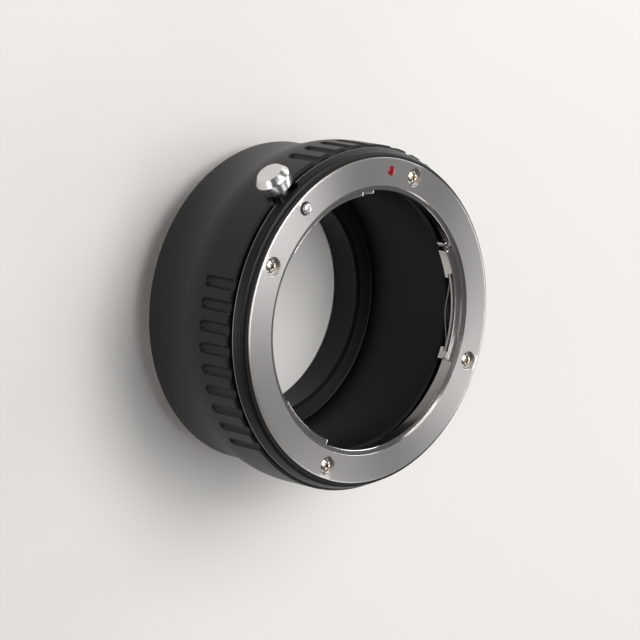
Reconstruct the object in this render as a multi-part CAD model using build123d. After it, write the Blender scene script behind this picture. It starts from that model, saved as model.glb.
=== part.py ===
"""A lens mount adapter: a black tube with a lens bayonet on top and a camera bayonet below.

The optical axis is Z. Height 0 is the camera seat, the flat face that meets the camera, and the
adapter stands on the end of the camera barrel below it. Angles are counted from +X towards +Y,
seen from the lens side, and the lens index dot is at 90 degrees.
"""

import os
from math import radians, sin

from build123d import *

# Optical length and main radii
register = 27.5  # camera seat to lens seat
ring_r = 30.0  # lens flange ring
throat_r = 23.95  # lens side
barrel_bore_r = 21.25  # camera side
bore_r = 24.6  # main light bore

# Clearances
seat_gap = 0.05  # radial, ring in its counterbore
thread_gap = 0.02  # radial, screw in its tapped hole
slide_gap = 0.04  # radial, pin and knob that slide
rest_gap = 0.1  # under the knob

# Lens bayonet
ring_thick = 2.0
ring_bevel = 0.3
rim_step = 0.85  # from the throat wall out to the bore for the lens's spigot
rim_bore_depth = 0.42
throat_bevel = 0.14
hub_wall = 1.85
hub_depth = 2.95  # lens seat to the end of the throat wall
claw_reach = 0.95  # from the throat wall inwards
claw_depth = 1.3  # lens seat to the front of the claws
claw_thick = 1.0
block_depth = 3.45  # lens seat to the end of the blocks behind the claws
claws = ((344.0, 36.5, 5.5, 14.0), (102.5, 152.0, 8.0, 8.0), (222.0, 255.5, 5.5, 5.5))
stops = ((0.8, 1.8, 95.0, 102.5), (0.55, 1.3, 38.0, 40.5))  # reach, depth and span
open_span = (40.5, 95.0)  # where the hub is cut away for the lens claws

# Leaf springs behind the claws
leaf_set = 0.1  # claw's inner edge to the leaf's
leaf_thick = 0.25
leaf_wide = 1.7
leaf_bow = 1.45
leaf_foot = 1.6
leaf_tuck = 2.0  # degrees that each end runs into its block

# Lens mount screws
screw_set = 2.45  # ring's edge to the centre of the screw
screw_angles = (77.0, 162.0, 257.0, 347.0)
screw_r = 1.0
screw_length = 4.5
head_r = 1.31
head_rim = 0.4
head_dome = 0.45
head_set = 0.2  # top of the head below the lens seat
head_well_gap = 0.39
cross_wide = 0.36
cross_long = 1.5
cross_deep = 0.5

# Index dots
dot_r = 0.92
dot_deep = 0.4
dot_crown = 0.08
camera_dot_r = 1.1
camera_dot_height = 3.2

# Release: lock pin, its spring and the knob
lock_angle = 136.4
pin_set = 2.07  # ring's edge to the centre of the pin
pin_r = 0.96
pin_hole_gap = 0.32
pin_stand = 0.85
pin_dome = 0.35
plunger_r = 1.5
plunger_length = 6.5
tail_pin_r = 0.7
tail_pin_length = 2.0
travel = 1.8
coil_r = 1.15  # centre line of the wire
wire_r = 0.16
coil_turns = 6
coil_length = 6.0
knob_depth = 4.4  # lens seat to the centre of the knob
knob_shank_r = 1.2
knob_shank_past = 0.73  # past the centre of the pin
knob_neck_r = 2.6
knob_skirt_wide = 0.45  # beyond the neck
knob_rim_wide = 0.2  # beyond the skirt's lower edge
knob_lift = 0.65  # grip band to the knob's skirt
knob_skirt = 2.05
knob_chamfer = 1.25
knob_top_r = 2.38
knob_edge = 0.12
pocket_deep = 1.8  # below the grip band
pocket_beside = 1.4  # pocket wall to the knob's neck
pocket_above = 0.2
pocket_below = 1.8  # with the knob drawn right back
pocket_corner = 2.4

# Body, outside: each radius steps from the one before, starting at the lens ring
lip_set = 0.45  # lens seat to the front lip
lip_wide = 0.5
lip_groove_deep = 0.25
lip_groove = (0.72, 1.1)  # depths of its floor
bead_rise = 0.55
bead_depth = 1.75
bead_crown = 0.12
score_deep = 0.12
score_wide = 0.14
land_rise = 0.4
land_depth = 3.05
ring_groove_deep = 0.7
ring_groove = (3.25, 3.8)  # depths of its floor
grip_rise = 0.55
band_depth = 4.1
edge_bevel = 0.12
waist_start = 11.0  # lens seat to where the grip band begins to fall
waist_end = 2.2  # camera seat to where the rear cylinder begins
waist_fall = 2.0
waist_crown = 0.34  # share of the fall that is convex
tail_set = 0.2  # camera seat to the rear rim
tail_bevel = 0.25

# Grip grooves
grip_count = 9
grip_pitch = 7.2
grip_centres = (90.0, 201.0, 339.0)
grip_cutter_r = 1.15
grip_deep = 0.7
grip_rear_depth = 11.3

# Body, inside
cavity_depth = 5.0  # lens seat to the floor of the recess behind the claws
web_thick = 0.7  # of the rear web at the bore
web_fall = 0.4
web_set = 0.7  # from the camera bore out to the web
bore_bevel = 0.45

# Camera bayonet
rear_rim_wide = 1.5  # body's rear rim outside the ring
camera_ring_thick = 1.5
camera_bevel = 0.25
barrel_wall = 0.85
barrel_length = 4.8
tab_reach = 0.9
tab_top = 1.4
tab_thick = 1.5
tab_spans = ((8.0, 54.0), (128.0, 174.0), (248.0, 294.0))
relief_wide = 0.3  # shallow groove at the foot of the barrel, beyond the tabs
relief_deep = 0.3
notch_r = 1.35
notch_deep = 1.0
notch_set = 2.3  # beyond the relief
notch_angle = 196.0

# Camera mount screws
camera_screw_set = 2.2  # ring's edge to the centre of the screw
camera_screw_angles = (30.0, 120.0, 228.0, 318.0)
flat_head_r = 1.75
flat_head_deep = 1.0
camera_screw_length = 5.0

# Heights and radii that follow
margin = 1.0  # how far a cutter runs past the face that it cuts
lens_seat = register
ring_under = lens_seat - ring_thick
cavity_floor = lens_seat - cavity_depth
claw_front = lens_seat - claw_depth
claw_back = claw_front - claw_thick
claw_r = throat_r - claw_reach
hub_r = throat_r + hub_wall
cavity_r = hub_r + seat_gap * 2
leaf_outer = claw_r + leaf_set + leaf_wide
screw_circle_r = ring_r - screw_set
lock_circle_r = ring_r - pin_set
lip_r = ring_r + lip_wide
bead_r = lip_r + bead_rise
land_r = bead_r + land_rise
grip_r = land_r + grip_rise
tail_r = grip_r - waist_fall
knob_height = lens_seat - knob_depth
knob_floor = grip_r - pocket_deep
skirt_low = grip_r + knob_lift
knob_rim = skirt_low + knob_skirt
knob_top = knob_rim + knob_chamfer
plunger_low = ring_under - plunger_length
bore_end = plunger_low - coil_length
camera_ring_r = tail_r - rear_rim_wide
barrel_r = barrel_bore_r + barrel_wall
tab_r = barrel_r + tab_reach
relief_r = tab_r + relief_wide
camera_screw_circle_r = camera_ring_r - camera_screw_set
web_r = barrel_bore_r + web_set
web_top = camera_ring_thick + web_thick


def turned(*corners):
    """A solid of revolution about the optical axis, from (radius, height) corners."""
    return revolve(make_face(Plane.XZ * Polyline(*corners, close=True)), Axis.Z)


def sector(r_in, r_out, low, high, start, end):
    """A piece of a flat ring between two angles."""
    corners = ((r_in, low), (r_out, low), (r_out, high), (r_in, high))
    face = make_face(Plane.XZ * Polyline(*corners, close=True))
    return Rot(0, 0, start) * revolve(face, Axis.Z, revolution_arc=(end - start) % 360)


def rod(radius, low, high):
    """An upright cylinder between two heights."""
    return Pos(0, 0, low) * extrude(Circle(radius), high - low)


def at(angle, radius, shape):
    """The shape moved out along one angle, and turned to face that way."""
    return Rot(0, 0, angle) * (Pos(radius, 0, 0) * shape)


def spoke(radius, inner, outer):
    """A cylinder that lies along the +X radius, from one distance to another."""
    return Pos(inner, 0, 0) * (Rot(0, 90, 0) * extrude(Circle(radius), outer - inner))


def long_slot(radius, run, inner, outer):
    """A radial cutter with round ends, which runs down from the knob's rest place."""
    ends = spoke(radius, inner, outer) + Pos(0, 0, -run) * spoke(radius, inner, outer)
    middle = Pos((inner + outer) / 2, 0, -run / 2) * Box(outer - inner, 2 * radius, run)
    return Pos(0, 0, knob_height) * (ends + middle)


def knob_pocket():
    """The flat-bottomed pocket that the knob's neck travels in, along +X, as a cutter."""
    top = knob_height + knob_neck_r + pocket_above
    low = knob_height - travel - knob_neck_r - pocket_below
    outline = RectangleRounded(2 * (knob_neck_r + pocket_beside), top - low, pocket_corner)
    block = extrude(Plane.YZ * outline, grip_r, dir=(1, 0, 0))
    return Pos(knob_floor, 0, (top + low) / 2) * block


def bulge(start, end, rise):
    """The middle point of a shallow arc that stands out to the right of a line going down."""
    run = Vector(*end) - Vector(*start)
    middle = Vector(*start) + run / 2
    away = run.normalized().rotate(Axis.Z, 90)
    point = middle + away * rise
    return (point.X, point.Y)


def cross_recess(top):
    """The cross in a screw head whose top is at that height, as a cutter."""
    arms = Box(cross_long, cross_wide, 2 * cross_deep) + Box(cross_wide, cross_long, 2 * cross_deep)
    return Pos(0, 0, top) * arms


def grip_cutters():
    """Round-bottomed grooves in groups, open at the front into the ring groove."""
    front = lens_seat - (ring_groove[1] + land_depth) / 2
    rear = lens_seat - grip_rear_depth + grip_cutter_r
    reach = grip_r + grip_cutter_r - grip_deep
    cutter = Pos(reach, 0, 0) * (rod(grip_cutter_r, rear, front) + Pos(0, 0, rear) * Sphere(grip_cutter_r))
    first = -(grip_count - 1) / 2
    return [
        Rot(0, 0, centre + (first + step) * grip_pitch) * cutter
        for centre in grip_centres
        for step in range(grip_count)
    ]


def body_outline():
    """Half of the body's section: down the outside from the lens end, then up the inside."""
    bead_start = (lip_r, lens_seat - lip_groove[1] - edge_bevel)
    bead_end = (bead_r, lens_seat - bead_depth)
    waist_top = (grip_r, lens_seat - waist_start)
    tail = (tail_r, waist_end)
    bend = (
        grip_r + waist_crown * (tail_r - grip_r),
        waist_top[1] + waist_crown * (waist_end - waist_top[1]),
    )
    front = Polyline(
        (ring_r + seat_gap, ring_under),
        (ring_r + seat_gap, lens_seat - lip_set),
        (lip_r, lens_seat - lip_set),
        (lip_r, lens_seat - lip_groove[0] + edge_bevel),
        (lip_r - lip_groove_deep, lens_seat - lip_groove[0]),
        (lip_r - lip_groove_deep, lens_seat - lip_groove[1]),
        bead_start,
    )
    bead = ThreePointArc(bead_start, bulge(bead_start, bead_end, bead_crown), bead_end)
    groove = Polyline(
        bead_end,
        (bead_r - score_deep, bead_end[1] - score_wide / 2),
        (bead_r, bead_end[1] - score_wide),
        (land_r, lens_seat - land_depth + edge_bevel),
        (land_r - edge_bevel, lens_seat - land_depth),
        (land_r - ring_groove_deep, lens_seat - ring_groove[0]),
        (land_r - ring_groove_deep, lens_seat - ring_groove[1]),
        (grip_r - edge_bevel, lens_seat - band_depth + edge_bevel),
        (grip_r, lens_seat - band_depth),
        waist_top,
    )
    crown = TangentArc(waist_top, bend, tangent=(0, -1))
    hollow = TangentArc(tail, bend, tangent=(0, 1))
    inside = Polyline(
        tail,
        (tail_r, tail_set + tail_bevel),
        (tail_r - tail_bevel, tail_set),
        (camera_ring_r + seat_gap, tail_set),
        (camera_ring_r + seat_gap, camera_ring_thick),
        (web_r, camera_ring_thick),
        (web_r, web_top - web_fall),
        (bore_r, web_top),
        (bore_r, cavity_floor - bore_bevel),
        (bore_r + bore_bevel, cavity_floor),
        (cavity_r, cavity_floor),
        (cavity_r, ring_under),
        (ring_r + seat_gap, ring_under),
    )
    return make_face(Plane.XZ * Wire([*front.edges(), bead.edge(), *groove.edges(),
                                      crown.edge(), hollow.edge(), *inside.edges()]))


def adapter_body():
    body = revolve(body_outline(), Axis.Z)
    body -= grip_cutters()
    tapped = rod(screw_r + thread_gap, ring_under - screw_length, ring_under + margin)
    body -= [at(angle, screw_circle_r, tapped) for angle in screw_angles]
    rear_tapped = rod(screw_r + thread_gap, -margin, camera_screw_length)
    body -= [at(angle, camera_screw_circle_r, rear_tapped) for angle in camera_screw_angles]
    body -= at(lock_angle, lock_circle_r, rod(plunger_r + slide_gap, bore_end, ring_under + margin))
    body -= Rot(0, 0, lock_angle) * knob_pocket()
    slot = long_slot(knob_shank_r + slide_gap, travel, lock_circle_r, knob_floor + margin)
    body -= Rot(0, 0, lock_angle) * slot
    body -= Rot(0, 0, 90) * (Pos(0, 0, camera_dot_height) * spoke(camera_dot_r, tail_r - dot_deep, grip_r))
    return body


def lens_bayonet():
    ring = turned(
        (throat_r, lens_seat - rim_bore_depth - throat_bevel),
        (throat_r + throat_bevel, lens_seat - rim_bore_depth),
        (throat_r + rim_step, lens_seat - rim_bore_depth),
        (throat_r + rim_step, lens_seat),
        (ring_r - ring_bevel, lens_seat),
        (ring_r, lens_seat - ring_bevel),
        (ring_r, ring_under),
        (hub_r, ring_under),
        (hub_r, lens_seat - hub_depth),
        (throat_r, lens_seat - hub_depth),
    )
    for start, end, cw_block, ccw_block in claws:
        low = lens_seat - block_depth
        wall_r = (throat_r + hub_r) / 2
        ring += sector(claw_r, wall_r, claw_back, claw_front, start, end)
        ring += sector(claw_r, hub_r, low, claw_front, start, start + cw_block)
        ring += sector(claw_r, hub_r, low, claw_front, end - ccw_block, end)
        low_cut = low - margin
        free = (start + cw_block, end - ccw_block)
        ring -= sector(claw_r - margin, leaf_outer + seat_gap, low_cut, claw_back, *free)
        tuck = (free[0] - leaf_tuck, free[1] + leaf_tuck)
        floor = claw_back - leaf_thick - seat_gap
        ring -= sector(claw_r - margin, leaf_outer + seat_gap, floor, claw_back, *tuck)
    for stop_reach, stop_depth, *span in stops:
        inner = throat_r - stop_reach
        ring += sector(inner, hub_r, lens_seat - block_depth, lens_seat - stop_depth, *span)
    ring -= sector(claw_r - margin, hub_r + margin, ring_under - block_depth, ring_under, *open_span)
    well_deep = head_set + head_dome + head_rim
    well = rod(head_r + head_well_gap, lens_seat - well_deep, lens_seat + margin)
    hole = rod(screw_r + seat_gap, ring_under - margin, lens_seat)
    ring -= [at(angle, screw_circle_r, well + hole) for angle in screw_angles]
    ring -= at(lock_angle, lock_circle_r, rod(pin_r + pin_hole_gap, ring_under - margin, lens_seat + margin))
    ring -= at(90, screw_circle_r, rod(dot_r, lens_seat - dot_deep, lens_seat + margin))
    return ring


def leaf_spring(start, end):
    """A bowed strip of sheet that lies behind one claw, with its ends in the claw's blocks."""
    middle = start + ((end - start) % 360) / 2
    reach = ((end - start) % 360) / 2 + leaf_tuck
    half = (leaf_outer - leaf_wide) * sin(radians(reach)) - seat_gap
    foot = half - leaf_foot
    profile = make_face(Plane.YZ * Wire([
        *Polyline((-foot, -leaf_thick), (-half, -leaf_thick), (-half, 0), (-foot, 0)).edges(),
        ThreePointArc((-foot, 0), (0, -leaf_bow), (foot, 0)).edge(),
        *Polyline((foot, 0), (half, 0), (half, -leaf_thick), (foot, -leaf_thick)).edges(),
        ThreePointArc((foot, -leaf_thick), (0, -leaf_bow - leaf_thick), (-foot, -leaf_thick)).edge(),
    ]))
    strip = Pos(0, 0, claw_back) * extrude(profile, hub_r, dir=(1, 0, 0))
    hoop = rod(leaf_outer, cavity_floor, lens_seat) - rod(leaf_outer - leaf_wide, cavity_floor, lens_seat)
    return Rot(0, 0, middle) * (strip & hoop)


def domed_head():
    """A low domed screw head with a cross, its top at the set depth below the lens seat."""
    top = lens_seat - head_set
    rim = top - head_dome
    low = rim - head_rim
    section = make_face(Plane.XZ * Wire([
        *Polyline((0, top), (0, low), (head_r, low), (head_r, rim)).edges(),
        TangentArc((0, top), (head_r, rim), tangent=(1, 0)).edge(),
    ]))
    return revolve(section, Axis.Z) - cross_recess(top)


def lens_mount_screws():
    top = lens_seat - head_set - head_dome - head_rim
    screw = domed_head() + rod(screw_r, ring_under - screw_length + seat_gap, top)
    return Compound(children=[at(angle, screw_circle_r, screw) for angle in screw_angles])


def camera_bayonet():
    low = -barrel_length
    ring = turned(
        (barrel_bore_r, low + camera_bevel),
        (barrel_bore_r + camera_bevel, low),
        (barrel_r - camera_bevel, low),
        (barrel_r, low + camera_bevel),
        (barrel_r, relief_deep),
        (relief_r, relief_deep),
        (relief_r, 0),
        (camera_ring_r - camera_bevel, 0),
        (camera_ring_r, camera_bevel),
        (camera_ring_r, camera_ring_thick),
        (barrel_bore_r, camera_ring_thick),
    )
    wall = (barrel_bore_r + barrel_r) / 2
    ring += [sector(wall, tab_r, -tab_top - tab_thick, -tab_top, *span) for span in tab_spans]
    ring -= [at(angle, camera_screw_circle_r, flat_head(seat_gap)) for angle in camera_screw_angles]
    ring -= at(notch_angle, relief_r + notch_set, rod(notch_r, -margin, notch_deep))
    return ring


def flat_head(gap):
    """A countersunk screw that points up from the camera seat, or its hole when gap is given."""
    cone = Pos(0, 0, flat_head_deep / 2) * Cone(flat_head_r + gap, screw_r + gap, flat_head_deep)
    return cone + rod(screw_r + gap, -gap, camera_screw_length - thread_gap)


def camera_mount_screws():
    sunk = 0.05  # heads lie just below the seat
    cone = Pos(0, 0, sunk + (flat_head_deep - sunk) / 2) * Cone(
        flat_head_r - sunk, screw_r, flat_head_deep - sunk)
    screw = cone + rod(screw_r, flat_head_deep, camera_screw_length - seat_gap) - cross_recess(sunk)
    return Compound(children=[at(angle, camera_screw_circle_r, screw) for angle in camera_screw_angles])


def dot(radius):
    """A drop of enamel in its drilled recess, slightly crowned, with its face at height 0."""
    section = make_face(Plane.XZ * Wire([
        *Polyline((0, dot_crown), (0, -dot_deep), (radius, -dot_deep), (radius, -dot_crown)).edges(),
        TangentArc((0, dot_crown), (radius, -dot_crown), tangent=(1, 0)).edge(),
    ]))
    return revolve(section, Axis.Z)


def lock_pin():
    """The stepped pin: a domed nose, a plunger with the knob's cross hole, and a spring spigot."""
    top = lens_seat + pin_stand
    section = make_face(Plane.XZ * Wire([
        *Polyline((pin_r, top - pin_dome), (pin_r, ring_under), (plunger_r, ring_under),
                  (plunger_r, plunger_low), (tail_pin_r, plunger_low),
                  (tail_pin_r, plunger_low - tail_pin_length), (0, plunger_low - tail_pin_length),
                  (0, top)).edges(),
        TangentArc((0, top), (pin_r, top - pin_dome), tangent=(1, 0)).edge(),
    ]))
    pin = at(lock_angle, lock_circle_r, revolve(section, Axis.Z))
    cross_hole = Pos(0, 0, knob_height) * spoke(knob_shank_r, lock_circle_r - knob_shank_past, grip_r)
    return pin - Rot(0, 0, lock_angle) * cross_hole


def lock_pin_spring():
    """A round-wire coil between the plunger and the end of its bore."""
    low = bore_end + wire_r
    rise = coil_length - 2 * wire_r
    path = Helix(pitch=rise / coil_turns, height=rise, radius=coil_r)
    wire = sweep(Plane(origin=path @ 0, z_dir=path % 0) * Circle(wire_r), path=path, is_frenet=True)
    return at(lock_angle, lock_circle_r, Pos(0, 0, low) * wire)


def release_knob():
    """The polished knob: flat top, chamfer, tapered skirt, neck, and a shank that holds the pin."""
    end = lock_circle_r - knob_shank_past
    low = knob_floor + rest_gap
    skirt_r = knob_neck_r + knob_skirt_wide
    section = make_face(Plane.XZ * Polyline(
        (0, end), (knob_shank_r, end), (knob_shank_r, low),
        (knob_neck_r - knob_edge, low), (knob_neck_r, low + knob_edge),
        (knob_neck_r, skirt_low), (skirt_r - knob_edge, skirt_low),
        (skirt_r, skirt_low + knob_edge), (skirt_r + knob_rim_wide, knob_rim),
        (knob_top_r, knob_top - knob_edge / 2), (knob_top_r - knob_edge, knob_top),
        (0, knob_top), close=True))
    return Rot(0, 0, lock_angle) * (Pos(0, 0, knob_height) * (Rot(0, 90, 0) * revolve(section, Axis.Z)))


pieces = {
    "adapter_body": adapter_body(),
    "lens_bayonet": lens_bayonet(),
    "camera_bayonet": camera_bayonet(),
    "lens_mount_screws": lens_mount_screws(),
    "camera_mount_screws": camera_mount_screws(),
    "lens_index_dot": at(90, screw_circle_r, Pos(0, 0, lens_seat) * dot(dot_r)),
    "camera_index_dot": Rot(0, 0, 90) * (
        Pos(tail_r, 0, camera_dot_height) * (Rot(0, 90, 0) * dot(camera_dot_r))),
    "lock_pin": lock_pin(),
    "lock_pin_spring": lock_pin_spring(),
    "release_knob": release_knob(),
}
for number, (start, end, cw_block, ccw_block) in enumerate(claws, start=1):
    pieces[f"leaf_spring_{number}"] = leaf_spring(start + cw_block, end - ccw_block)

os.makedirs("parts", exist_ok=True)
for name, piece in pieces.items():
    export_step(piece, f"parts/{name}.step")
    print(name, len(piece.solids()), round(piece.volume, 1))
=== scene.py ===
# %% [markdown]
# A lens mount adapter is a short black tube between a lens and a camera. The shape comes from the
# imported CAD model, which Blender loads as a fixed frame. Every visible piece is then built again
# as a finer mesh on the same axes, because bright metal shows each facet of a coarse one.

# %% Load the frame
from math import atan2, cos, hypot, pi, radians, sin, tan, tau

import bmesh
import bpy
from mathutils import Matrix, Vector


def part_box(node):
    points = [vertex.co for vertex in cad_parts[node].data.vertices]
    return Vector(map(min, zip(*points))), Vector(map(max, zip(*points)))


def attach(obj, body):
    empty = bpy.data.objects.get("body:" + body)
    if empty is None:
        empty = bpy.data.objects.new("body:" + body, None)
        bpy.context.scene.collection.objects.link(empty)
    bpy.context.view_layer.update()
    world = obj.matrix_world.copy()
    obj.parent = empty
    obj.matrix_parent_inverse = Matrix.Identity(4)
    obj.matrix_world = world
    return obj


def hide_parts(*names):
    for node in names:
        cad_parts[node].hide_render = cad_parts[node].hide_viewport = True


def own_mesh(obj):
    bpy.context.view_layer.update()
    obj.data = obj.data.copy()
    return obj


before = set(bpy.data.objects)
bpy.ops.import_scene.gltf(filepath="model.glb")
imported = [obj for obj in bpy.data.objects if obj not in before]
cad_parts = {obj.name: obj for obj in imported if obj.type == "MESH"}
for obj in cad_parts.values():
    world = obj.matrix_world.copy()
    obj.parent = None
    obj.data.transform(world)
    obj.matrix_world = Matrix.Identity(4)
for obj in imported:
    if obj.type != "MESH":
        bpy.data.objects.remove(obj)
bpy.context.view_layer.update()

# %% [markdown]
# Lengths are written in millimetres and scaled once, where a vertex is made. The large sizes are
# read from the frame. The optical axis is Z, the camera seat is height 0, and angles count from
# +X towards +Y as seen from the lens.

# %% Sizes
MM = 0.001


def reach(node, axis):
    """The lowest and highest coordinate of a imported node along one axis, in millimetres."""
    low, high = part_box(node)
    return round(low[axis] / MM, 2), round(high[axis] / MM, 2)


lens_seat = reach("lens_bayonet", 2)[1]
ring_r = reach("lens_bayonet", 0)[1]
block_low = reach("lens_bayonet", 2)[0]
grip_r = reach("adapter_body", 0)[1]
rear_rim = reach("adapter_body", 2)[0]
lip_top = reach("adapter_body", 2)[1]
barrel_end = reach("camera_bayonet", 2)[0]
camera_ring_top = reach("camera_bayonet", 2)[1]
camera_ring_r = reach("camera_bayonet", 0)[1]
print("lens seat", lens_seat, "ring", ring_r, "grip", grip_r, "barrel end", barrel_end)

ring_thick = 2.0
ring_under = lens_seat - ring_thick
throat_r = 23.95
rim_bore_r = 24.8
rim_bore_depth = 0.42
hub_r = 25.8
hub_low = lens_seat - 2.95
claw_r = 23.0
claw_front = lens_seat - 1.3
claw_back = claw_front - 1.0
claws = ((344.0, 36.5, 5.5, 14.0), (102.5, 152.0, 8.0, 8.0), (222.0, 255.5, 5.5, 5.5))
stops = ((23.15, 1.8, 95.0, 102.5), (23.4, 1.3, 38.0, 40.5))
open_span = (40.5, 95.0)
screw_circle_r = 27.55
screw_angles = (77.0, 162.0, 257.0, 347.0)
lock_angle = 136.4
lock_circle_r = 27.93
knob_height = lens_seat - 4.4
bore_r = 24.6
cavity_floor = lens_seat - 5.0
web_r = 21.95
barrel_bore_r = 21.25
barrel_r = 22.1
camera_screw_circle_r = 26.3
camera_screw_angles = (30.0, 120.0, 228.0, 318.0)

travel = 1.8  # of the knob and the pin
seat_gap = 0.05  # radial, rings in their counterbores
margin = 1.0  # how far a cutter runs past the face that it cuts
screw_r = 1.0
tapped_r = 1.02
clear_r = 1.05
plunger_r = 1.5
plunger_bore_r = 1.54
plunger_low = ring_under - 6.5
coil_length = 6.0
coil_end = plunger_low - coil_length
shank_r = 1.2
shank_slot_r = 1.24
shank_end = 27.2
head_low = lens_seat - 1.05
dot_r, camera_dot_r = 0.92, 1.1
dot_deep = 0.4
camera_dot_height = 3.2
print("pin circle", lock_circle_r, "knob height", knob_height, "spring from", coil_end, "to", plunger_low)

# %% [markdown]
# Most pieces start on a lathe: an outline is spun about an axis. A sector is a part of such a turn,
# and a rod is a plain cylinder for pins and drills. Each is then turned and moved to its place.

# %% Shapes


def lathe(outline, steps=360, angle=tau, closed=True):
    """Spins (radius, height) points in millimetres about the Z axis."""
    bm = bmesh.new()
    verts = [bm.verts.new((r * MM, 0, z * MM)) for r, z in outline]
    ends = verts[1:] + verts[:1] if closed else verts[1:]
    edges = [bm.edges.new(pair) for pair in zip(verts, ends)]
    whole = angle == tau
    geom = verts + edges if whole else verts + edges + [bm.faces.new(verts)]
    bmesh.ops.spin(bm, geom=geom, cent=(0, 0, 0), axis=(0, 0, 1), dvec=(0, 0, 0), angle=angle,
                   steps=steps, use_merge=whole)
    bmesh.ops.remove_doubles(bm, verts=bm.verts, dist=1e-7)
    bmesh.ops.dissolve_degenerate(bm, dist=1e-7, edges=bm.edges)
    bmesh.ops.recalc_face_normals(bm, faces=bm.faces)
    return bm


def turn(bm, angle):
    """Turns a mesh about the optical axis, by degrees."""
    bmesh.ops.rotate(bm, verts=bm.verts, cent=(0, 0, 0), matrix=Matrix.Rotation(radians(angle), 3, "Z"))
    return bm


def sector(r_in, r_out, low, high, start, end):
    """A piece of flat ring between two angles."""
    span = (end - start) % 360
    step = 0.75  # degrees from one section to the next
    outline = ((r_in, low), (r_out, low), (r_out, high), (r_in, high))
    return turn(lathe(outline, max(2, round(span / step)), radians(span)), start)


def rounded(bm):
    """Breaks the square edges of a piece before it is joined to another."""
    width = 0.06
    edges = [e for e in bm.edges if len(e.link_faces) == 2 and e.calc_face_angle() > radians(60)]
    bmesh.ops.bevel(bm, geom=edges, offset=width * MM, segments=2, profile=0.5, affect="EDGES", material=-1)
    return bm


def rod(radius, low, high, segments=64, flare=0.0):
    """An upright cylinder between two heights, or a cone that is wider at the top by the flare."""
    bm = bmesh.new()
    bmesh.ops.create_cone(bm, cap_ends=True, segments=segments, radius1=radius * MM,
                          radius2=(radius + flare) * MM, depth=(high - low) * MM,
                          matrix=Matrix.Translation((0, 0, (low + high) / 2 * MM)))
    return bm


def place(bm, angle, radius, height=0.0, outward=False):
    """Moves a mesh to an angle and radius. With outward set, its Z axis points away from the axis."""
    if outward:
        bmesh.ops.rotate(bm, verts=bm.verts, cent=(0, 0, 0), matrix=Matrix.Rotation(pi / 2, 3, "Y"))
    bmesh.ops.translate(bm, verts=bm.verts, vec=(radius * MM, 0, height * MM))
    return turn(bm, angle)


def merged(meshes):
    """Several meshes as one."""
    whole = bmesh.new()
    for bm in meshes:
        part = bpy.data.meshes.new("part")
        bm.to_mesh(part)
        bm.free()
        whole.from_mesh(part)
        bpy.data.meshes.remove(part)
    return whole


# %% [markdown]
# A mesh becomes an object, other meshes are cut from it or joined to it, as a mill does, and its
# sharp edges are broken. Shading then marks which edges stay crisp, so that round walls look smooth
# and corners don't. The last function hands the piece over to its body and hides the imported nodes.

# %% Objects


def as_object(name, bm):
    """An object made from a finished bmesh, at the origin."""
    mesh = bpy.data.meshes.new(name)
    bm.to_mesh(mesh)
    bm.free()
    obj = bpy.data.objects.new(name, mesh)
    bpy.context.scene.collection.objects.link(obj)
    return obj


def keep(obj):
    """Keeps what the modifiers of an object give as its plain mesh."""
    result = bpy.data.meshes.new_from_object(obj.evaluated_get(bpy.context.evaluated_depsgraph_get()))
    obj.modifiers.clear()
    old = obj.data
    obj.data = result
    bpy.data.meshes.remove(old)


def combine(obj, bm, operation):
    """Cuts (DIFFERENCE) or joins (UNION) a mesh into an object, and keeps the result."""
    tool = as_object("tool", bm)
    step = obj.modifiers.new("step", "BOOLEAN")
    step.object = tool
    step.operation = operation
    step.solver = "EXACT"
    keep(obj)
    bpy.data.objects.remove(tool)
    return obj


def shade(obj, angle=28):
    """Smooth shading, with edges sharper than the angle kept crisp and flat faces kept flat."""
    obj.data.shade_smooth()
    obj.data.set_sharp_from_angle(angle=radians(angle))
    step = obj.modifiers.new("weigh", "WEIGHTED_NORMAL")
    step.keep_sharp = True
    keep(obj)


def ease(obj, width):
    """Breaks the sharp edges of a finished mesh by a small bevel, as a deburring tool does."""
    step = obj.modifiers.new("ease", "BEVEL")
    step.width = width * MM
    step.segments = 2
    step.limit_method = "ANGLE"
    step.angle_limit = radians(35)
    step.use_clamp_overlap = True
    keep(obj)


def install(obj, body, slot, *nodes):
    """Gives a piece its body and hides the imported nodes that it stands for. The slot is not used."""
    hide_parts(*nodes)
    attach(obj, body)
    tris = sum(len(p.vertices) - 2 for p in obj.data.polygons)
    bm = bmesh.new()
    bm.from_mesh(obj.data)
    open_edges = sum(1 for e in bm.edges if len(e.link_faces) != 2)
    bm.free()
    print(f"{obj.name}: {tris} triangles, {open_edges} open edges")


# %% [markdown]
# A node material is a small network, so one function adds a node, fills its sockets and links them.
# Colours are written as they look on a screen, in sRGB hex, and made linear in one place.

# %% Material helpers


def colour(hexcode):
    """An sRGB hex colour as linear RGBA."""
    parts = [int(hexcode[i:i + 2], 16) / 255 for i in (0, 2, 4)]
    return [p / 12.92 if p <= 0.04045 else ((p + 0.055) / 1.055) ** 2.4 for p in parts] + [1.0]


def add(material, kind, inputs=None, **settings):
    """Adds a node with its settings, and fills or links its inputs by name or number."""
    node = material.node_tree.nodes.new(kind)
    for name, value in settings.items():
        setattr(node, name, value)
    for name, value in (inputs or {}).items():
        if isinstance(value, bpy.types.NodeSocket):
            material.node_tree.links.new(value, node.inputs[name])
        else:
            node.inputs[name].default_value = value
    return node


def new_material(name, **values):
    """A material with one Principled shader, which gets the plain values by the names of its inputs."""
    material = bpy.data.materials.new(name)
    material.use_nodes = True
    shader = material.node_tree.nodes["Principled BSDF"]
    for key, value in values.items():
        socket = key.replace("_", " ").title().replace("Ior", "IOR")
        shader.inputs[socket].default_value = value
    print("material:", name)
    return material


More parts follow.
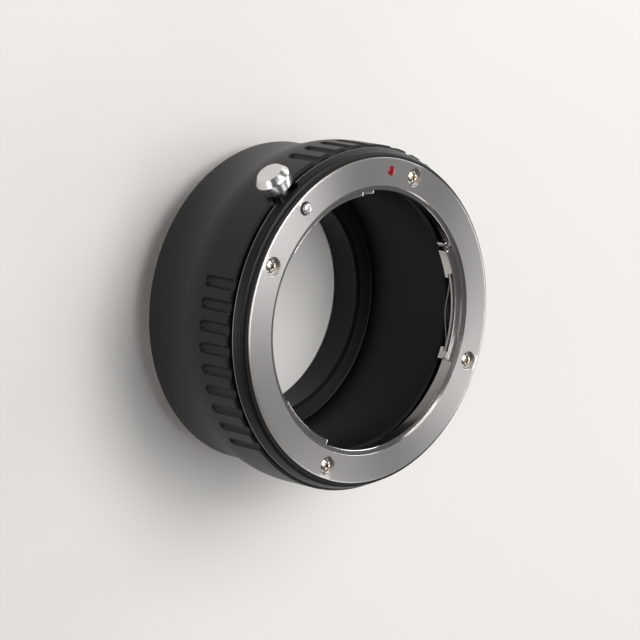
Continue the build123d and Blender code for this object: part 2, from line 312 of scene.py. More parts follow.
def link(material, output, name):
    """Feeds the named input of the material's shader from the output of a node."""
    shader = material.node_tree.nodes["Principled BSDF"]
    material.node_tree.links.new(output, shader.inputs[name])


def lathe_space(material, pitch, axis=(0, 0, 1), centre=(0, 0, 0)):
    """Radius and height about an axis, over a pitch in millimetres, and the vector out from it."""
    spot = add(material, "ShaderNodeTexCoord").outputs["Object"]
    offset = add(material, "ShaderNodeVectorMath", {0: spot, 1: Vector(centre) * MM},
                 operation="SUBTRACT").outputs[0]
    height = add(material, "ShaderNodeVectorMath", {0: offset, 1: axis}, operation="DOT_PRODUCT")
    along = add(material, "ShaderNodeVectorMath", {0: axis, "Scale": height.outputs["Value"]},
                operation="SCALE").outputs[0]
    outward = add(material, "ShaderNodeVectorMath", {0: offset, 1: along}, operation="SUBTRACT").outputs[0]
    radius = add(material, "ShaderNodeVectorMath", {0: outward}, operation="LENGTH").outputs["Value"]
    rings = add(material, "ShaderNodeCombineXYZ", {0: radius, 1: height.outputs["Value"]}).outputs[0]
    scaled = add(material, "ShaderNodeVectorMath", {0: rings, "Scale": 1 / (pitch * MM)}, operation="SCALE")
    return scaled.outputs[0], outward


# %% [markdown]
# The body is aluminium, turned on a lathe, bead blasted and anodised black. The oxide is a thin
# hard glassy layer, so it reflects like a dielectric with a soft gloss. The lathe leaves faint
# rings that catch the light along the waist.

# %% Black anodised aluminium
black_anodised = new_material(
    "black_anodised_aluminium", base_color=colour("121113"), roughness=0.42, ior=1.5,
    specular_ior_level=0.3)
feed_pitch = 0.35  # the real feed is finer than a pixel
blast_grain = 0.25
rings = lathe_space(black_anodised, feed_pitch)[0]
feed = add(black_anodised, "ShaderNodeTexNoise", {"Vector": rings, "Scale": 1.0, "Detail": 2.0})
blast = add(black_anodised, "ShaderNodeTexNoise",
            {"Vector": add(black_anodised, "ShaderNodeTexCoord").outputs["Object"],
             "Scale": 1 / (blast_grain * MM), "Detail": 2.0})
bumped = add(black_anodised, "ShaderNodeBump",
             {"Height": feed.outputs[0], "Strength": 0.5, "Distance": 0.004 * MM})
grained = add(black_anodised, "ShaderNodeBump",
              {"Height": blast.outputs[0], "Strength": 0.5, "Distance": 0.003 * MM,
               "Normal": bumped.outputs[0]})
link(black_anodised, grained.outputs[0], "Normal")
gloss = add(black_anodised, "ShaderNodeMapRange",
            {"Value": blast.outputs[0], "To Min": 0.38, "To Max": 0.46})
link(black_anodised, gloss.outputs[0], "Roughness")

# %% [markdown]
# A strip of light metal colour on the land's rear edge is a painted highlight: it gives that edge a
# light line against the dark groove behind it.

# %% Painted highlight on the land's edge
painted_edge_highlight = new_material(
    "painted_edge_highlight_on_edges", base_color=colour("8E8B88"), metallic=1.0, roughness=0.35)

# %% [markdown]
# The tube is coated with matte black paint inside, so that no stray light reaches the sensor. Its
# coarse tooth scatters what falls on it, and the bore stays dark and even.

# %% Matte black paint
paint_tooth = 0.3
matte_black = new_material(
    "matte_black_paint", base_color=colour("0D0C0C"), roughness=0.45, ior=1.5,
    specular_ior_level=0.3)
tooth = add(matte_black, "ShaderNodeTexNoise",
            {"Vector": add(matte_black, "ShaderNodeTexCoord").outputs["Object"],
             "Scale": 1 / (paint_tooth * MM), "Detail": 3.0})
rough = add(matte_black, "ShaderNodeBump",
            {"Height": tooth.outputs[0], "Strength": 0.6, "Distance": 0.01 * MM})
link(matte_black, rough.outputs[0], "Normal")

# %% [markdown]
# Both bayonets are brass, turned and then plated with chrome. The tool leaves fine circular
# grooves, which spread a highlight across them and not along them: that gives the bright fans on
# the ring. The shader does this with anisotropy, whose tangent runs round the axis and is turned
# by a quarter so that the highlight stretches across the grooves. The claws and the throat are
# turned finer than the seat, so they mirror the lamps in narrow streaks.

# %% Turned chrome-plated brass


def turned_metal(name, hexcode, roughness, anisotropy, pitch, depth, axis=(0, 0, 1), centre=(0, 0, 0)):
    """A metal with circular tool marks of a given pitch and depth, in millimetres."""
    material = new_material(name, base_color=colour(hexcode), metallic=1.0, roughness=roughness,
                            anisotropic=anisotropy, anisotropic_rotation=0.25)
    rings, outward = lathe_space(material, pitch, axis, centre)
    around = add(material, "ShaderNodeVectorMath", {0: axis, 1: outward}, operation="CROSS_PRODUCT")
    tangent = add(material, "ShaderNodeVectorMath", {0: around.outputs[0]}, operation="NORMALIZE")
    link(material, tangent.outputs[0], "Tangent")
    marks = add(material, "ShaderNodeTexNoise", {"Vector": rings, "Scale": 1.0, "Detail": 3.0})
    relief = add(material, "ShaderNodeBump",
                 {"Height": marks.outputs[0], "Strength": 1.0, "Distance": depth * MM})
    link(material, relief.outputs[0], "Normal")
    tone = add(material, "ShaderNodeMapRange",
               {"Value": marks.outputs[0], "To Min": roughness * 0.85, "To Max": roughness * 1.15})
    link(material, tone.outputs[0], "Roughness")
    return material


# The seat: coarse marks, broad fans of light.
chrome_plate = turned_metal("turned_chrome_plated_brass", "D6D3D0", 0.30, 0.75, 0.22, 0.0012)
# The claws and the throat: fine marks, narrow streaks.
chrome_bore = turned_metal("fine_turned_chrome_plated_brass", "D6D3D0", 0.17, 0.6, 0.22, 0.0006)

# %% [markdown]
# The knob is stainless steel, turned and polished, so it mirrors its surroundings in sharp bands.
# The pin's nose is ground. The screws are nickel plated, and the walls of the cross in each head are
# painted darker and warmer: painted shade and a painted warm reflection. The springs are rolled strip and
# drawn wire.

# %% Steels
lock_line = (cos(radians(lock_angle)), sin(radians(lock_angle)), 0)
# Turned and polished bar about the knob's own axis: sharp bands round the skirt.
polished_steel = turned_metal("polished_stainless_steel", "D9D7D5", 0.27, 0.5, 0.3, 0.0006, lock_line,
                              (0, 0, knob_height))
# Ground steel: a soft grey nose with one small highlight.
ground_steel = new_material("ground_steel", base_color=colour("CFCDCA"), metallic=1.0, roughness=0.33)
# Nickel plate: warmer and brighter than the chrome round it.
nickel = new_material("nickel_plated_steel", base_color=colour("CFC8BF"), metallic=1.0, roughness=0.2)
# Nickel in the cross, darker and brownish: painted shade in the recess and a painted warm reflection, which
# make the cross readable.
painted_cross_shade = new_material("nickel_with_painted_shade_in_cross", base_color=colour("A98F6C"), metallic=1.0, roughness=0.35)
# Rolled strip and drawn wire, in a darker grey that is painted shade: the leaves lie in the shade of the
# claws in the black bore.
spring_steel = new_material("spring_steel_painted_darker_as_shade", base_color=colour("8F8D8B"), metallic=1.0, roughness=0.3)

# %% [markdown]
# The index marks are drops of enamel in drilled recesses. Enamel pulls up into a low dome with a
# wet gloss.

# %% Enamels
# Deep red enamel with a small bright reflection on its dome.
red_enamel = new_material("red_enamel", base_color=colour("7E0B10"), roughness=0.12, ior=1.5)
# White enamel: the one light spot on the black rear end.
white_enamel = new_material("white_enamel", base_color=colour("E6E4DF"), roughness=0.15, ior=1.5)

# %% [markdown]
# The outside of the body is a spun outline. From the lens end it has a low lip, a narrow groove, a
# rounded bead, a sloping land, an annular groove and the straight grip band. Two arcs that meet
# without a corner then lead down to the slim rear end.

# %% Body outline


def bow(start, end, rise, count):
    """Points along a circular arc that stands out from its chord, to the right of the way it runs."""
    (r0, z0), (r1, z1) = start, end
    chord = hypot(r1 - r0, z1 - z0)
    radius = (chord ** 2 / 4 + rise ** 2) / (2 * abs(rise))
    half = 2 * atan2(2 * abs(rise), chord)
    side = 1 if rise > 0 else -1
    along = ((r1 - r0) / chord, (z1 - z0) / chord)
    away = (-along[1] * side, along[0] * side)
    points = []
    for i in range(1, count):
        a = -half + 2 * half * i / count
        out = radius * (cos(a) - cos(half))
        run = radius * sin(a) + chord / 2
        points.append((r0 + along[0] * run + away[0] * out, z0 + along[1] * run + away[1] * out))
    return points


def fair(start, end, count, hollow=False):
    """Points along an arc that runs upright at one end: at its start, or at its end if hollow."""
    (r0, z0), (r1, z1) = start, end
    chord = hypot(r1 - r0, z1 - z0)
    slant = atan2(abs(r1 - r0), abs(z1 - z0))
    rise = chord / 2 * tan(slant / 2)
    return bow(start, end, -rise if hollow else rise, count)


lip_r = 30.5
lip_groove_r = 30.25
bead_start = (lip_r, lens_seat - 1.22)
bead_end = (31.05, lens_seat - 1.75)
land_end = (31.45, lens_seat - 2.93)
ring_groove_r = 30.75
grip_top = (grip_r, lens_seat - 4.1)
waist_top = (grip_r, 16.5)
tail_r = 30.0
tail = (tail_r, 2.2)
crown = 0.34
bend = (grip_r + crown * (tail_r - grip_r), waist_top[1] + crown * (tail[1] - waist_top[1]))
web_fillet = 0.3
web_top = 2.2
bore_bevel = 0.45
outside = [
    (ring_r + seat_gap, ring_under), (ring_r + seat_gap, lip_top - 0.05), (ring_r + 0.1, lip_top),
    (lip_r - 0.05, lip_top), (lip_r, lip_top - 0.05), (lip_r, lens_seat - 0.6),
    (lip_groove_r, lens_seat - 0.72), (lip_groove_r, lens_seat - 1.1), bead_start,
    *bow(bead_start, bead_end, 0.12, 8), bead_end,
    (bead_end[0] - 0.12, bead_end[1] - 0.07), (bead_end[0], bead_end[1] - 0.14),
    (land_end[0] - 0.04, land_end[1] + 0.1), land_end,
    (land_end[0] - 0.04, land_end[1] - 0.06), (land_end[0] - 0.12, land_end[1] - 0.12),
    (ring_groove_r, lens_seat - 3.25), (ring_groove_r, lens_seat - 3.8),
    (grip_r - 0.12, grip_top[1] + 0.12), (grip_r - 0.03, grip_top[1] + 0.04), grip_top,
    (grip_r, (grip_top[1] + waist_top[1]) / 2), waist_top,
    *fair(waist_top, bend, 20), bend, *fair(bend, tail, 36, hollow=True), tail,
    (tail_r, rear_rim + 0.25), (tail_r - 0.07, rear_rim + 0.08), (tail_r - 0.25, rear_rim),
    (camera_ring_r + seat_gap, rear_rim),
]
inside = [
    (camera_ring_r + seat_gap, camera_ring_top), (web_r, camera_ring_top), (web_r, 1.8),
    *[(bore_r - web_fillet + web_fillet * sin(a), web_top + web_fillet * (1 - cos(a)))
      for a in (pi / 2 * i / 6 for i in range(7))],
    (bore_r, cavity_floor - bore_bevel), (bore_r + bore_bevel, cavity_floor),
    (hub_r + 0.1, cavity_floor), (hub_r + 0.1, ring_under),
]
body = as_object("body_shell", lathe(outside + inside))
print("body outline points:", len(outside) + len(inside))

# %% [markdown]
# The grip is milled with a ball-nosed cutter: nine straight grooves in each of three groups, open
# at the front and rounded at the rear. One cutter shape is spun, and copies of it stand round the
# band.

# %% Milled grooves
cutter_r = 1.15
groove_deep = 0.7
groove_rear = lens_seat - 11.3 + cutter_r
groove_front = lens_seat - 3.42
cutter = [(0, groove_front), (cutter_r, groove_front), (cutter_r, groove_rear)]
cutter += [(cutter_r * cos(a), groove_rear - cutter_r * sin(a))
           for a in (pi / 2 * i / 10 for i in range(1, 10))]
cutter += [(0, groove_rear - cutter_r)]
group_centres = (90.0, 201.0, 339.0)
groove_count = 9
groove_pitch = 7.2
grooves = []
for centre in group_centres:
    for i in range(groove_count):
        angle = centre + (i - (groove_count - 1) / 2) * groove_pitch
        grooves.append(place(lathe(cutter, 40, closed=False), angle, grip_r + cutter_r - groove_deep))
combine(body, merged(grooves), "DIFFERENCE")
print("grooves:", len(grooves))

# %% [markdown]
# Under the knob a short flat-bottomed cut runs through the land and the groove. Behind it a slot
# for the knob's shank goes on through the wall, long enough for the knob's travel. The screws, the
# plunger and the white dot have holes of their own.

# %% Cut under the knob, and holes
cut_floor, cut_wide = 30.2, 5.5
cut_top, cut_low = lens_seat - 1.9, lens_seat - 5.4
cut_corner, cut_reach = 0.8, 6
cut = bmesh.new()
bmesh.ops.create_cube(cut, size=1.0, matrix=Matrix.Diagonal(
    (cut_reach * MM, cut_wide * MM, (cut_top - cut_low) * MM, 1)))
corners = [e for e in cut.edges if abs(e.verts[0].co.x - e.verts[1].co.x) > MM]
bmesh.ops.bevel(cut, geom=corners, offset=cut_corner * MM, segments=8, profile=0.5, affect="EDGES",
                material=-1)
combine(body, place(cut, lock_angle, cut_floor + cut_reach / 2, (cut_top + cut_low) / 2), "DIFFERENCE")

holes = [place(rod(tapped_r, ring_under - 4.5, ring_under + margin, 32), a, screw_circle_r)
         for a in screw_angles]
holes += [place(rod(tapped_r, -margin, 5, 32), a, camera_screw_circle_r) for a in camera_screw_angles]
holes += [place(rod(plunger_bore_r, coil_end, ring_under + margin, 48), lock_angle, lock_circle_r)]
holes += [place(rod(camera_dot_r, -dot_deep, margin, 48), 90, tail_r, camera_dot_height, outward=True)]
combine(body, merged(holes), "DIFFERENCE")
slot_cutter = rod(shank_slot_r, 0, 8, 32)
bmesh.ops.translate(slot_cutter, verts=[v for v in slot_cutter.verts if v.co.x > 0.01 * MM],
                    vec=(travel * MM, 0, 0))
combine(body, place(slot_cutter, lock_angle, lock_circle_r, knob_height, outward=True), "DIFFERENCE")
ease(body, 0.05)
shade(body)

# %% [markdown]
# The inside of the tube gets the paint. The two narrow faces at the land's rear edge get the painted
# highlight, and all else is black.

# %% Finish of the body
for material in (black_anodised, matte_black, painted_edge_highlight):
    body.data.materials.append(material)
for face in body.data.polygons:
    x, y, z = face.center / MM
    if hypot(x, y) < hub_r + 0.2 and z < ring_under:
        face.material_index = 1
    elif hypot(x, y) > land_end[0] - 0.13 and -0.13 < z - land_end[1] < 0.09:
        # The land's rear edge: a painted highlight in light metal colour.
        face.material_index = 2
install(body, "housing", "black_anodised", "adapter_body")

# %% [markdown]
# The lens bayonet is one turned ring with a hub that reaches down into the body. Three claws stand
# inwards from the hub. Behind each claw a slot holds a leaf spring, and blocks close the slot's
# ends. The hub is cut away over one span, where the lens's own claws go in.

# %% Lens bayonet
ledge = lens_seat - rim_bore_depth
ring_outline = [
    (throat_r, hub_low), (throat_r, ledge - 0.06), (throat_r + 0.06, ledge), (rim_bore_r, ledge),
    (rim_bore_r, lens_seat - 0.04), (rim_bore_r + 0.04, lens_seat),
    (ring_r - 0.3, lens_seat), (ring_r - 0.08, lens_seat - 0.09), (ring_r, lens_seat - 0.3),
    (ring_r, ring_under), (hub_r, ring_under), (hub_r, hub_low),
]
ring = as_object("lens_ring", lathe(ring_outline))
combine(ring, sector(claw_r - margin, hub_r + margin, ring_under - 4, ring_under, *open_span),
        "DIFFERENCE")

hub_mid = (throat_r + hub_r) / 2
slot_r = claw_r + 1.85
tuck = 2  # degrees that a leaf spring's end may run into its block
for start, end, cw_block, ccw_block in claws:
    combine(ring, rounded(sector(claw_r, hub_mid, block_low, claw_front, start, end)), "UNION")
    free = (start + cw_block, end - ccw_block)
    combine(ring, sector(claw_r - margin, slot_r, block_low - margin, claw_back, *free), "DIFFERENCE")
    combine(ring, sector(slot_r - 0.3, hub_r + margin, block_low - margin, hub_low, *free), "DIFFERENCE")
    tucks = [sector(claw_r - margin, slot_r - 0.05, claw_back - 0.3, claw_back - 0.01, a - tuck, a + tuck)
             for a in free]
    combine(ring, merged(tucks), "DIFFERENCE")
for stop_r, stop_depth, start, end in stops:
    combine(ring, rounded(sector(stop_r, hub_mid, block_low, lens_seat - stop_depth, start, end)), "UNION")
print("claws:", len(claws), "stops:", len(stops))

# %% [markdown]
# The screws' counterbores have slightly flared mouths, which catch a thin bright rim. The ring also
# has a hole for the pin and a shallow recess for the red dot. The claws and the throat get the
# finer turning.

# %% Holes and finish of the lens bayonet
well_r = 1.7
well = [place(rod(well_r, head_low, lens_seat + margin), a, screw_circle_r) for a in screw_angles]
combine(ring, merged(well), "DIFFERENCE")
mouth_r, mouth_flare = 1.66, 0.16
mouth = [place(rod(mouth_r, lens_seat - 0.1, lens_seat + 0.06, flare=mouth_flare), a, screw_circle_r)
         for a in screw_angles]
combine(ring, merged(mouth), "DIFFERENCE")
pin_hole_r = 1.28
through = [place(rod(clear_r, ring_under - margin, lens_seat, 32), a, screw_circle_r) for a in screw_angles]
through += [place(rod(pin_hole_r, ring_under - margin, lens_seat + margin), lock_angle, lock_circle_r)]
through += [place(rod(dot_r, lens_seat - dot_deep, lens_seat + margin), 90, screw_circle_r)]
combine(ring, merged(through), "DIFFERENCE")
shade(ring)
ring.data.materials.append(chrome_plate)
ring.data.materials.append(chrome_bore)
for face in ring.data.polygons:
    x, y, z = face.center / MM
    if hypot(x, y) < rim_bore_r + 0.02 and z < lens_seat - 0.05:
        face.material_index = 1
install(ring, "housing", "chrome_plate", "lens_bayonet")

# %% [markdown]
# Each leaf spring is a strip of rolled steel behind a claw. It lies flat in the slot at its ends
# and bows away from the claw between them, so that it presses on the lens's claw. A flat grid is
# bent into that shape and given its thickness.

# %% Leaf springs
leaf_in = claw_r + 0.1
leaf_wide = 1.7
leaf_thick = 0.25
leaf_bow = 1.45
leaf_foot = 1.6  # degrees that each end runs into its block
blunt = 0.3  # how much of the bow's peak is rounded
bowed_share = 0.8  # of the length, the rest lies flat


def leaf_spring(name, start, end):
    """A bowed strip between two angles."""
    half_span = ((end - start) % 360) / 2
    half = radians(half_span + leaf_foot)
    middle = radians(start) + radians(half_span)
    bm = bmesh.new()
    bmesh.ops.create_grid(bm, x_segments=64, y_segments=3, size=1.0)
    for v in bm.verts:
        t, across = v.co.x, (v.co.y + 1) / 2
        bowed = (hypot(1, blunt) - hypot(t / bowed_share, blunt)) / (hypot(1, blunt) - blunt)
        bowed = max(0.0, bowed)
        r = leaf_in + leaf_wide * across
        a = middle + half * t
        v.co = (r * cos(a) * MM, r * sin(a) * MM, (claw_back - 0.02 - leaf_bow * bowed) * MM)
    bmesh.ops.recalc_face_normals(bm, faces=bm.faces)
    if sum(f.normal.z for f in bm.faces) < 0:
        bmesh.ops.reverse_faces(bm, faces=bm.faces)
    bmesh.ops.solidify(bm, geom=bm.faces, thickness=leaf_thick * MM)
    bmesh.ops.recalc_face_normals(bm, faces=bm.faces)
    return as_object(name, bm)


for number, (start, end, cw_block, ccw_block) in enumerate(claws, start=1):
    leaf = leaf_spring(f"leaf_strip_{number}", start + cw_block, end - ccw_block)
    shade(leaf, 40)
    # The darker grey of the strip is painted shade under the claw.
    leaf.data.materials.append(spring_steel)
    install(leaf, "housing", "spring_steel", f"leaf_spring_{number}")

# %% [markdown]
# The same few steps make the screws of both ends: a cross is cut into a spun head, and the screw is
# moved to its place. The four of one end are one object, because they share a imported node.

# %% Screw helpers


def cross(top, length=1.55, width=0.38):
    """The cross in a screw head, as two cutters that narrow downwards."""
    deep = 0.55
    arms = []
    for quarter in (0, 90):
        bm = bmesh.new()
        bmesh.ops.create_cube(bm, size=1.0, matrix=Matrix.Translation((0, 0, top * MM)) @ Matrix.Diagonal(
            (length * MM, width * MM, 2 * deep * MM, 1)))
        bmesh.ops.scale(bm, verts=[v for v in bm.verts if v.co.z < top * MM], vec=(0.5, 0.7, 1),
                        space=Matrix.Identity(4))
        arms.append(turn(bm, quarter))
    return arms


def into_place(obj, angle, radius):
    """Moves the vertices of an object built on the axis to its angle and radius."""
    obj.data.transform(Matrix.Rotation(radians(angle), 4, "Z") @ Matrix.Translation((radius * MM, 0, 0)))
    return obj


def join(name, objects):
    """Makes one object of several."""
    whole = bmesh.new()
    for obj in objects:
        whole.from_mesh(obj.data)
    result = as_object(name, whole)
    for material in objects[0].data.materials:
        result.data.materials.append(material)
    for obj in objects:
        bpy.data.objects.remove(obj)
    return result


screw_turns = (20.0, 75.0, 50.0, 10.0)

# %% [markdown]
# The ring is held by four small screws with low domed heads and a cross recess, each sunk in a
# counterbore. The walls of the cross get a darker, warmer colour: painted shade and a painted warm
# reflection.

# %% Lens mount screws
head_r = 1.31
head_top = lens_seat - 0.2
screw_end = ring_under - 4.3
head = [(0, head_top), (0.35, head_top - 0.02), (0.75, head_top - 0.1), (1.05, head_top - 0.24),
        (1.22, head_top - 0.38), (head_r, head_top - 0.5), (head_r, head_low), (screw_r, head_low),
        (screw_r, screw_end), (0, screw_end)]
screws = []
for angle, turned_by in zip(screw_angles, screw_turns):
    one = as_object(f"screw_{len(screws)}", lathe(head, 64, closed=False))
    for arm in cross(head_top):
        combine(one, turn(arm, turned_by), "DIFFERENCE")
    one.data.materials.append(nickel)
    one.data.materials.append(painted_cross_shade)
    for face in one.data.polygons:
        x, y, z = face.center / MM
        inner = hypot(x, y) < 0.8 and head_top - 0.6 < z < head_top - 0.12
        steep = face.normal.z < 0.9 or z < head_top - 0.4
        # Walls of the cross: painted shade and a painted warm reflection.
        face.material_index = 1 if inner and steep else 0
    ease(one, 0.03)
    screws.append(into_place(one, angle, screw_circle_r))
lens_screws = join("domed_screws", screws)
shade(lens_screws)
install(lens_screws, "housing", "nickel_screw", "lens_mount_screws")

# %% [markdown]
# The red index dot and the white one on the camera side are spun domes in their recesses.

# %% Index dots


def dome(radius, height):
    """A low dome over a short stem, with its rim just under height 0."""
    count, half, set_in = 10, 0.5, 0.03  # steps, half the dome's angle in radians, rim below 0
    top = [(radius * sin(a) / sin(half), height * (cos(a) - cos(half)) / (1 - cos(half)) - set_in)
           for a in (half * i / count for i in range(count + 1))]
    return lathe([*top, (radius, -dot_deep), (0, -dot_deep)], 48, closed=False)


red_dot = as_object("red_dot", place(dome(dot_r, 0.14), 90, screw_circle_r, lens_seat))
shade(red_dot)
red_dot.data.materials.append(red_enamel)
install(red_dot, "housing", "red_enamel", "lens_index_dot")
white_dot = as_object("white_dot", place(dome(camera_dot_r, 0.1), 90, tail_r, camera_dot_height,
                                         outward=True))
shade(white_dot)
white_dot.data.materials.append(white_enamel)
install(white_dot, "housing", "white_enamel", "camera_index_dot")

# %% [markdown]
# The lock pin stands out of the lens seat with a rounded nose. Below the ring it widens to a
# plunger, which the knob's shank enters from the side, and a thin tail that guides the spring.

# %% Lock pin
pin_r = 0.96
pin_top = lens_seat + 0.85
nose_height = 0.42
tail_pin_r, tail_pin_low = 0.7, plunger_low - 2
nose = [(pin_r * sin(a), pin_top - nose_height * (1 - cos(a)))
        for a in (pi / 2 * i / 12 for i in range(13))]
pin_outline = [*nose, (pin_r, ring_under), (plunger_r, ring_under), (plunger_r, plunger_low),
               (tail_pin_r, plunger_low), (tail_pin_r, tail_pin_low), (0, tail_pin_low)]
pin = as_object("lock_plunger", place(lathe(pin_outline, 64, closed=False), lock_angle, lock_circle_r))
combine(pin, place(rod(shank_r, shank_end, 32, 32), lock_angle, 0, knob_height, outward=True), "DIFFERENCE")
shade(pin)
pin.data.materials.append(ground_steel)
install(pin, "release", "pin_steel", "lock_pin")

# %% [markdown]
# The pin rests on a coil of spring wire in the same bore. The real coil shortens as the knob is drawn
# back; here it is built once, at its full length.

# %% Lock pin spring


def coil(radius, wire_r, low, high, turns):
    """A round wire wound up the Z axis between two heights of its centre line."""
    steps, sides = 36, 12  # sections to a turn, and corners of a section
    bm = bmesh.new()
    loops = []
    for i in range(turns * steps + 1):
        a = tau * i / steps
        centre = Vector((radius * cos(a), radius * sin(a), low + (high - low) * i / (turns * steps)))
        outward = Vector((cos(a), sin(a), 0))
        along = Vector((-tau * radius * sin(a), tau * radius * cos(a), (high - low) / turns)).normalized()
        across = along.cross(outward)
        loops.append([bm.verts.new((centre + wire_r * (outward * cos(b) + across * sin(b))) * MM)
                      for b in (tau * j / sides for j in range(sides))])
    for one, two in zip(loops, loops[1:]):
        for j in range(sides):
            bm.faces.new((one[j], one[j - 1], two[j - 1], two[j]))
    bm.faces.new(loops[0])
    bm.faces.new(loops[-1])
    bmesh.ops.recalc_face_normals(bm, faces=bm.faces)
    return bm


coil_r, wire_r, coil_turns = 1.15, 0.16, 6
spring = as_object("coil_spring", place(
    coil(coil_r, wire_r, coil_end + wire_r, plunger_low - wire_r, coil_turns), lock_angle, lock_circle_r))
shade(spring, 60)
# The same darker grey, painted shade in the bore.
spring.data.materials.append(spring_steel)
install(spring, "housing", "spring_steel", "lock_pin_spring")
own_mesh(spring)

# %% [markdown]
# The knob is turned from one bar: a flat top, a broad chamfer, a skirt that narrows inwards, and
# the shank. It is spun upright and then laid along its radius.

# %% Release knob
skirt_low = 32.65
knob_outline = [
    (0, shank_end), (shank_r, shank_end), (shank_r, skirt_low), (2.93, skirt_low), (3.02, 32.69),
    (3.06, 32.78), (3.24, 34.6), (3.25, 34.7), (3.2, 34.8), (2.44, 35.86), (2.38, 35.92),
    (2.28, 35.95), (0, 35.95)]
knob = as_object("turned_knob", place(lathe(knob_outline, 128, closed=False), lock_angle, 0, knob_height,
                                      outward=True))
shade(knob, 20)
knob.data.materials.append(polished_steel)
install(knob, "release", "polished_steel", "release_knob")

# %% [markdown]
# The camera bayonet is hidden in most views, but the part is seen from below too. It is a flange
# with a short barrel, three tabs that turn behind the camera's claws, seats for four countersunk
# screws and a blind hole for the camera's own lock pin.

# %% Camera bayonet
relief_r = 23.3
chamfer = 0.25
rear_outline = [
    (barrel_bore_r, barrel_end + chamfer), (barrel_bore_r + chamfer, barrel_end),
    (barrel_r - chamfer, barrel_end), (barrel_r, barrel_end + chamfer), (barrel_r, 0.25),
    (barrel_r + 0.05, 0.3), (relief_r - 0.05, 0.3), (relief_r, 0.25), (relief_r, 0.05),
    (relief_r + 0.05, 0), (camera_ring_r - chamfer, 0), (camera_ring_r - 0.07, 0.08),
    (camera_ring_r, chamfer), (camera_ring_r, camera_ring_top), (barrel_bore_r, camera_ring_top),
]
rear_ring = as_object("camera_ring", lathe(rear_outline))
tab_spans = ((8.0, 54.0), (128.0, 174.0), (248.0, 294.0))
tab_low, tab_high, tab_r = -2.9, -1.4, 23.0
for start, end in tab_spans:
    combine(rear_ring, sector((barrel_bore_r + barrel_r) / 2, tab_r, tab_low, tab_high, start, end), "UNION")
notch_r, notch_deep, notch_angle, notch_circle_r = 1.35, 1.0, 196, 25.6
combine(rear_ring, place(rod(notch_r, -margin, notch_deep), notch_angle, notch_circle_r), "DIFFERENCE")
seat_outline = [(0, -0.5), (2.3, -0.5), (1.8, 0), (clear_r, 1.0), (clear_r, 3), (0, 3)]
sunk = [place(lathe(seat_outline, 64, closed=False), a, camera_screw_circle_r) for a in camera_screw_angles]
combine(rear_ring, merged(sunk), "DIFFERENCE")
ease(rear_ring, 0.06)
shade(rear_ring)
rear_ring.data.materials.append(chrome_plate)
rear_ring.data.materials.append(matte_black)
for face in rear_ring.data.polygons:
    x, y, z = face.center / MM
    if hypot(x, y) < barrel_bore_r + 0.1 or z > camera_ring_top - 0.01:
        face.material_index = 1
install(rear_ring, "housing", "chrome_plate", "camera_bayonet")

# %% [markdown]
# The screws of the camera side are countersunk, so that nothing stands above the seat. They point
# up into the body, and their crosses are cut from below.

# %% Camera mount screws
head_face = 0.05  # the head's flat lies this far inside the seat
flat_head = [(0, head_face), (1.62, head_face), (1.7, 0.1), (screw_r, 1.0), (screw_r, 4.9), (0, 4.9)]
rear_screws = []
for angle, turned_by in zip(camera_screw_angles, screw_turns):
    one = as_object("rear_screw", lathe(flat_head, 64, closed=False))
    for arm in cross(head_face, length=1.7, width=0.42):
        bmesh.ops.rotate(arm, verts=arm.verts, cent=(0, 0, head_face * MM),
                         matrix=Matrix.Rotation(pi, 3, "X"))
        combine(one, turn(arm, turned_by), "DIFFERENCE")
    one.data.materials.append(nickel)
    rear_screws.append(into_place(one, angle, camera_screw_circle_r))
camera_screws = join("countersunk_screws", rear_screws)
shade(camera_screws)
install(camera_screws, "housing", "nickel_screw", "camera_mount_screws")

# %% [markdown]
# The camera stands where the photographer's did, seen from the part: off to one side, at an angle
# of about 45 degrees to the optical axis, and rolled so that the index dot is at the top. Its place
# and direction come from a fit to the ring and the screws in the photo.

# %% Camera
eye = Vector((-463.97, 43.94, 488.35)) * MM
look_right = Vector((0.71483, 0.13143, 0.68683))
look_down = Vector((0.04658, -0.98894, 0.14077))
look_ahead = Vector((0.69774, -0.06863, -0.71305))
camera_data = bpy.data.cameras.new("camera")
camera_data.sensor_width = 36.0
camera_data.lens = 202.5
camera_data.clip_start = 0.01
camera_data.clip_end = 20
camera = bpy.data.objects.new("camera", camera_data)
bpy.context.scene.collection.objects.link(camera)
basis = Matrix((look_right, -look_down, -look_ahead)).transposed()
camera.matrix_world = Matrix.Translation(eye) @ basis.to_4x4()
bpy.context.scene.camera = camera
print("camera, mm:", [round(v / MM, 1) for v in eye], "lens", camera_data.lens)

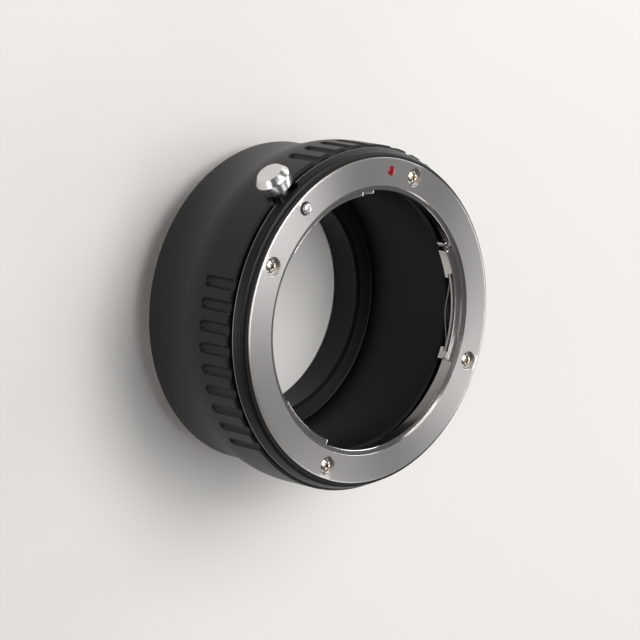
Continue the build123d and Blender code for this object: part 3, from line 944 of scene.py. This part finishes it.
# %% [markdown]
# The floor is a plain pale sheet under the barrel. It is a stage and no part of the object, and its
# light grey fills the lower halves of the metal's reflections.

# %% Floor
floor_bm = bmesh.new()
bmesh.ops.create_grid(floor_bm, x_segments=1, y_segments=1, size=3.0,
                      matrix=Matrix.Translation((0, 0, barrel_end * MM)))
floor = as_object("floor", floor_bm)
# Matte card: a soft shadow and no reflection of its own.
floor_paint = new_material("pale_floor", base_color=colour("E4E1DD"), roughness=0.7)
floor.data.materials.append(floor_paint)

# %% [markdown]
# Bright metal shows the room more than itself. The room is dim, and large soft boxes stand round
# the part at 0.8 m, where the photo's highlights on the ring, the knob and the edges ask for them.
# Each is placed by its bearing about the optical axis and its angle of rise above the floor.

# %% Lights
lamp_distance = 0.8
part_middle = Vector((0, 0, 12 * MM))


def soft_box(name, bearing, rise, width, watts):
    """A square area lamp, its width in millimetres, that faces the middle of the part."""
    data = bpy.data.lights.new(name, "AREA")
    data.shape = "SQUARE"
    data.size = width * MM
    data.energy = watts
    lamp = bpy.data.objects.new(name, data)
    bpy.context.scene.collection.objects.link(lamp)
    away = Matrix.Rotation(radians(bearing), 3, "Z") @ Vector((cos(radians(rise)), 0, sin(radians(rise))))
    lamp.location = away * lamp_distance + part_middle
    lamp.rotation_euler = away.to_track_quat("Z", "Y").to_euler()
    print("soft box:", name, watts, "W")


soft_box("key", 92, 62, 450, 2.6)
soft_box("top", 45, 72, 450, 1.6)
soft_box("over", 0, 90, 400, 0.8)
soft_box("left", 158, 64, 250, 0.7)
soft_box("back_left", 45, 13, 400, 2.6)
soft_box("back_right", 0, 13, 400, 1.9)
soft_box("front_left", 190, 8, 350, 1.3)
soft_box("right", 325, 40, 250, 0.35)
soft_box("low", 270, 14, 500, 1.0)
world = bpy.data.worlds.new("room")
bpy.context.scene.world = world
world.use_nodes = True
room = world.node_tree.nodes["Background"]
room.inputs["Color"].default_value = colour("F4F4F6")
room.inputs["Strength"].default_value = 0.13
bpy.context.scene.view_settings.view_transform = "Standard"
